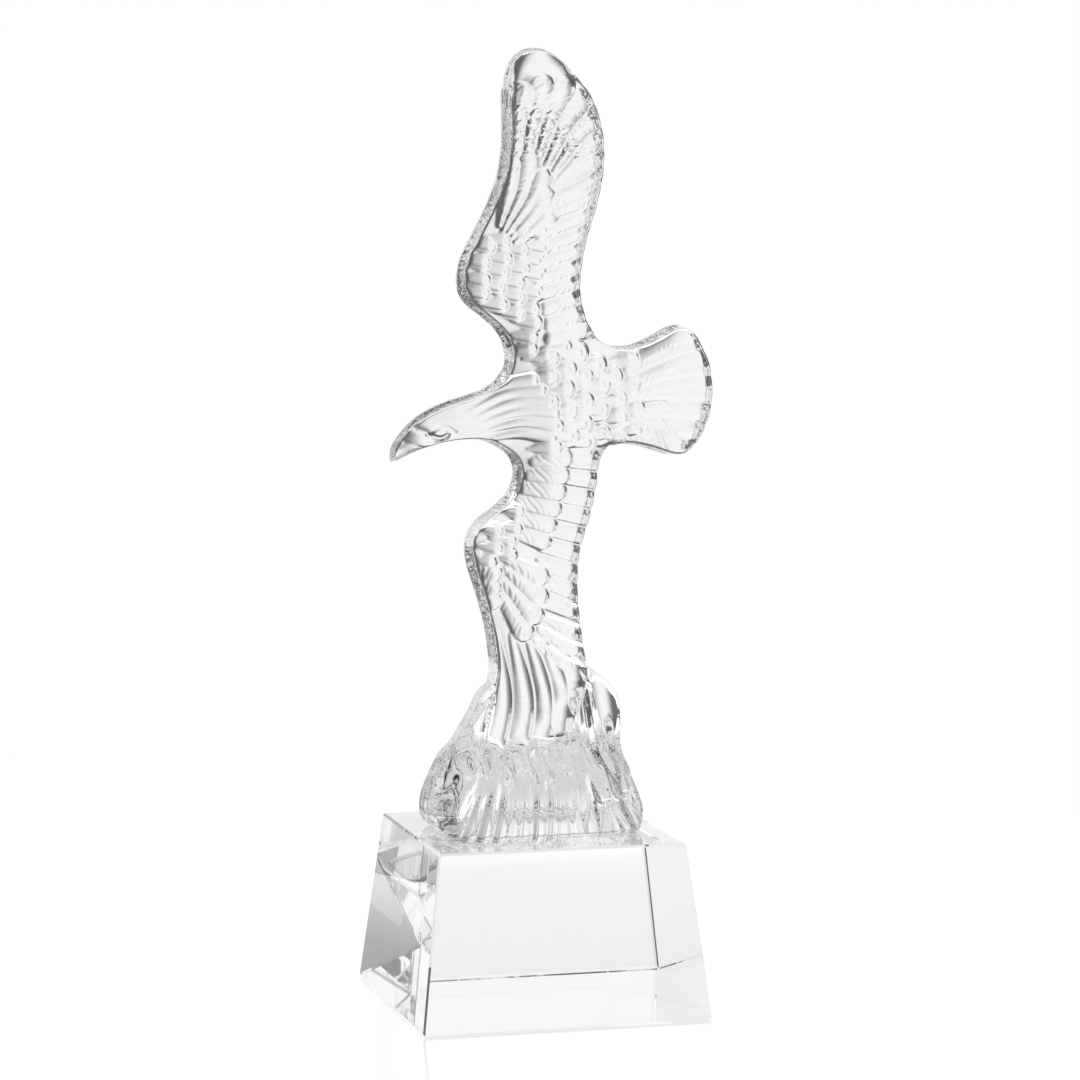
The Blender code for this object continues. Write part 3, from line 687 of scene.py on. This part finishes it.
def clear_glass(name, tint, polish):
    """Clear glass with a faint unevenness of its polish."""
    material = bpy.data.materials.new(name)
    material.use_nodes = True
    nodes, links = material.node_tree.nodes, material.node_tree.links
    shader = nodes["Principled BSDF"]
    shader.inputs["Base Color"].default_value = (*tint, 1)
    shader.inputs["IOR"].default_value = GLASS_IOR
    shader.inputs["Transmission Weight"].default_value = 1.0
    place = nodes.new("ShaderNodeTexCoord")
    noise = nodes.new("ShaderNodeTexNoise")
    noise.inputs["Scale"].default_value = polish[1]
    noise.inputs["Detail"].default_value = POLISH_DETAIL
    links.new(place.outputs["Object"], noise.inputs["Vector"])
    roughness = ranged_node(nodes, 0, 1, 0, ROUGHEST)
    links.new(noise.outputs["Fac"], roughness.inputs["Value"])
    links.new(roughness.outputs["Result"], shader.inputs["Roughness"])
    relief = nodes.new("ShaderNodeBump")
    relief.inputs["Strength"].default_value = polish[0]
    relief.inputs["Distance"].default_value = POLISH_DEPTH
    links.new(noise.outputs["Fac"], relief.inputs["Height"])
    links.new(relief.outputs["Normal"], shader.inputs["Normal"])
    return material


def add_piece(name, mesh, material, node):
    item = bpy.data.objects.new(name, mesh)
    mesh.materials.append(material)
    bpy.context.scene.collection.objects.link(item)
    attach(item, "root")
    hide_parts(node)
    return item


def add_floor():
    """A pale floor with a painted glow of its own: dimmer round the block, as painted shade round its foot,
    and brighter away from it, so that its edge doesn't show.
    """
    bpy.ops.mesh.primitive_plane_add(size=FLOOR_SIDE)
    floor = bpy.context.object
    floor.name = "floor"
    floor.location.z = -FLOOR_DROP
    material = bpy.data.materials.new("studio_floor")
    material.use_nodes = True
    nodes, links = material.node_tree.nodes, material.node_tree.links
    shader = nodes["Principled BSDF"]
    shader.inputs["Base Color"].default_value = (FLOOR_TONE, FLOOR_TONE, FLOOR_TONE, 1)
    shader.inputs["Roughness"].default_value = FLOOR_ROUGHNESS
    shader.inputs["Emission Color"].default_value = (1, 1, 1, 1)
    place = nodes.new("ShaderNodeTexCoord")
    reach = nodes.new("ShaderNodeVectorMath")
    reach.operation = "LENGTH"
    # painted glow of the floor, lower near the block as painted shade round its foot
    glow = ranged_node(nodes, *FLOOR_REACH, *FLOOR_GLOW)
    links.new(place.outputs["Object"], reach.inputs[0])
    links.new(reach.outputs["Value"], glow.inputs["Value"])
    links.new(glow.outputs["Result"], shader.inputs["Emission Strength"])
    floor.data.materials.append(material)


def add_camera():
    camera = bpy.data.objects.new("camera", bpy.data.cameras.new("camera"))
    bpy.context.scene.collection.objects.link(camera)
    camera.location = CAMERA_PLACE
    camera.rotation_euler = [math.radians(a) for a in CAMERA_TURN]
    camera.data.lens = CAMERA_LENS
    camera.data.sensor_width = 36
    bpy.context.scene.camera = camera


def add_light():
    """A plain studio, plain white where it shows: four white screens round the object, one of them
    straight behind it, each with a softbox beside it, with the darker room between and above them."""
    world = bpy.data.worlds.new("studio")
    bpy.context.scene.world = world
    world.use_nodes = True
    nodes, links = world.node_tree.nodes, world.node_tree.links
    background = nodes["Background"]

    def math_node(operation, *values):
        node = nodes.new("ShaderNodeMath")
        node.operation = operation
        for socket, value in zip(node.inputs, values):
            if isinstance(value, (int, float)):
                socket.default_value = value
            else:
                links.new(value, socket)
        return node.outputs[0]

    def ranged(value, low, high, start, end):
        node = ranged_node(nodes, low, high, start, end)
        node.interpolation_type = "SMOOTHSTEP"
        links.new(value, node.inputs["Value"])
        return node.outputs["Result"]

    def both(value, other):
        return math_node("MULTIPLY", value, other)

    place = nodes.new("ShaderNodeTexCoord")
    split = nodes.new("ShaderNodeSeparateXYZ")
    links.new(place.outputs["Generated"], split.inputs["Vector"])
    height = split.outputs["Z"]
    turn = math_node("ARCTAN2", split.outputs["Y"], split.outputs["X"])
    turn = math_node("SUBTRACT", math_node("DEGREES", turn), SCREEN_TURN)
    turn = math_node("WRAP", turn, 45, -45)
    screen = both(ranged(turn, *SCREEN_LEFT, 1, 0), ranged(turn, *reversed(SCREEN_RIGHT), 0, 1))
    screen = both(screen, ranged(height, SCREEN_TOP - SCREEN_FADE, SCREEN_TOP, 1, 0))
    side_soft, end_soft = BOX_SOFT
    box = ranged(turn, BOX_SIDES[0], BOX_SIDES[0] + side_soft, 0, 1)
    box = both(box, ranged(turn, BOX_SIDES[1] - side_soft, BOX_SIDES[1], 1, 0))
    box = both(box, ranged(height, BOX_HEIGHTS[0], BOX_HEIGHTS[0] + end_soft, 0, BOX_LIGHT))
    box = both(box, ranged(height, BOX_HEIGHTS[1] - end_soft, BOX_HEIGHTS[1], 1, 0))
    bright = math_node("MAXIMUM", screen, ranged(height, *OVERHEAD, 0, 1))
    bright = math_node("MAXIMUM", bright, box)
    tone = nodes.new("ShaderNodeMix")
    tone.data_type = "RGBA"
    tone.inputs["A"].default_value = (*ROOM, 1)
    tone.inputs["B"].default_value = (*SCREEN, 1)
    links.new(bright, tone.inputs["Factor"])
    seen = nodes.new("ShaderNodeLightPath")
    mix = nodes.new("ShaderNodeMix")
    mix.data_type = "RGBA"
    mix.inputs["B"].default_value = (1, 1, 1, 1)
    links.new(seen.outputs["Is Camera Ray"], mix.inputs["Factor"])
    links.new(tone.outputs["Result"], mix.inputs["A"])
    links.new(mix.outputs["Result"], background.inputs["Color"])
    scene = bpy.context.scene
    scene.view_settings.view_transform = "Standard"
    scene.cycles.max_bounces = GLASS_BOUNCES
    scene.cycles.glossy_bounces = GLASS_BOUNCES
    scene.cycles.transmission_bounces = GLASS_BOUNCES


add_camera()
add_light()
add_floor()
add_piece("figurine_eagle", eagle_mesh(), clear_glass("eagle_clear_glass", EAGLE_TINT, EAGLE_POLISH),
          "eagle")
add_piece("figurine_block", block_mesh(), clear_glass("block_clear_glass", BLOCK_TINT, BLOCK_POLISH),
          "base_block")
